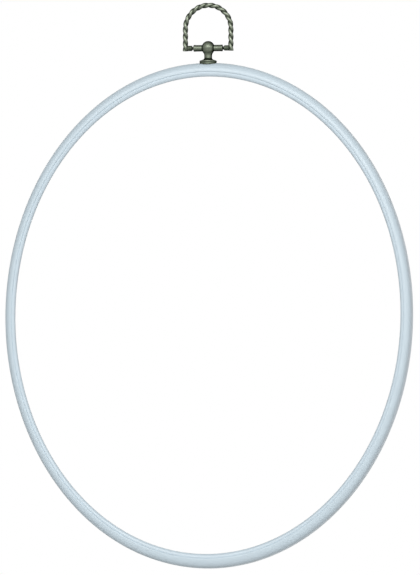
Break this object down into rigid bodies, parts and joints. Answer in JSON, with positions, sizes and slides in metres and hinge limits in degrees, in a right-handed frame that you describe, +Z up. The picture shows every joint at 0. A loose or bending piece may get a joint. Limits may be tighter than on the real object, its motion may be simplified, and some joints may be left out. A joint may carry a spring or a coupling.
{
  "type": "embroidery hoop",
  "caption": "Oval embroidery hoop: a soft outer hoop gripping a rigid inner hoop, hung from a twisted-rope bail that swings on a cast hanger.",
  "frame": {"origin": "the top of the bail's inside, where a hook carries the hoop", "axes": "+Z up, from the hoop to its bail; -Y is the working face and +Y the flat back; X runs across the hoop"},
  "size_m": [0.2136, 0.0094, 0.294],
  "materials": {
    "soft_vinyl": "satin, pale blue",
    "rigid_plastic": "smooth satin, pale blue",
    "antiqued_metal": "antiqued casting, dark in the grooves and rubbed bright on the ridges",
    "screw_steel": "plain plated steel"
  },
  "bodies": {
    "bail": {"hanging_bail": "antiqued_metal"},
    "hoop": {"outer_hoop": "soft_vinyl", "hanger_post": "antiqued_metal", "collar": "antiqued_metal", "hanger_screw": "screw_steel", "screw_washer": "screw_steel"},
    "inner": {"inner_hoop": "rigid_plastic"}
  },
  "joints": [
    {"name": "bail_swing", "type": "hinge", "parent": "bail", "child": "hoop", "pos_m": [0, 0, -0.0212], "axis": [1, 0, 0], "range_deg": [-147, 142]},
    {"name": "inner_hoop_out", "type": "slide", "parent": "hoop", "child": "inner", "axis": [0, 1, 0], "range_m": [0, 0.03]}
  ]
}
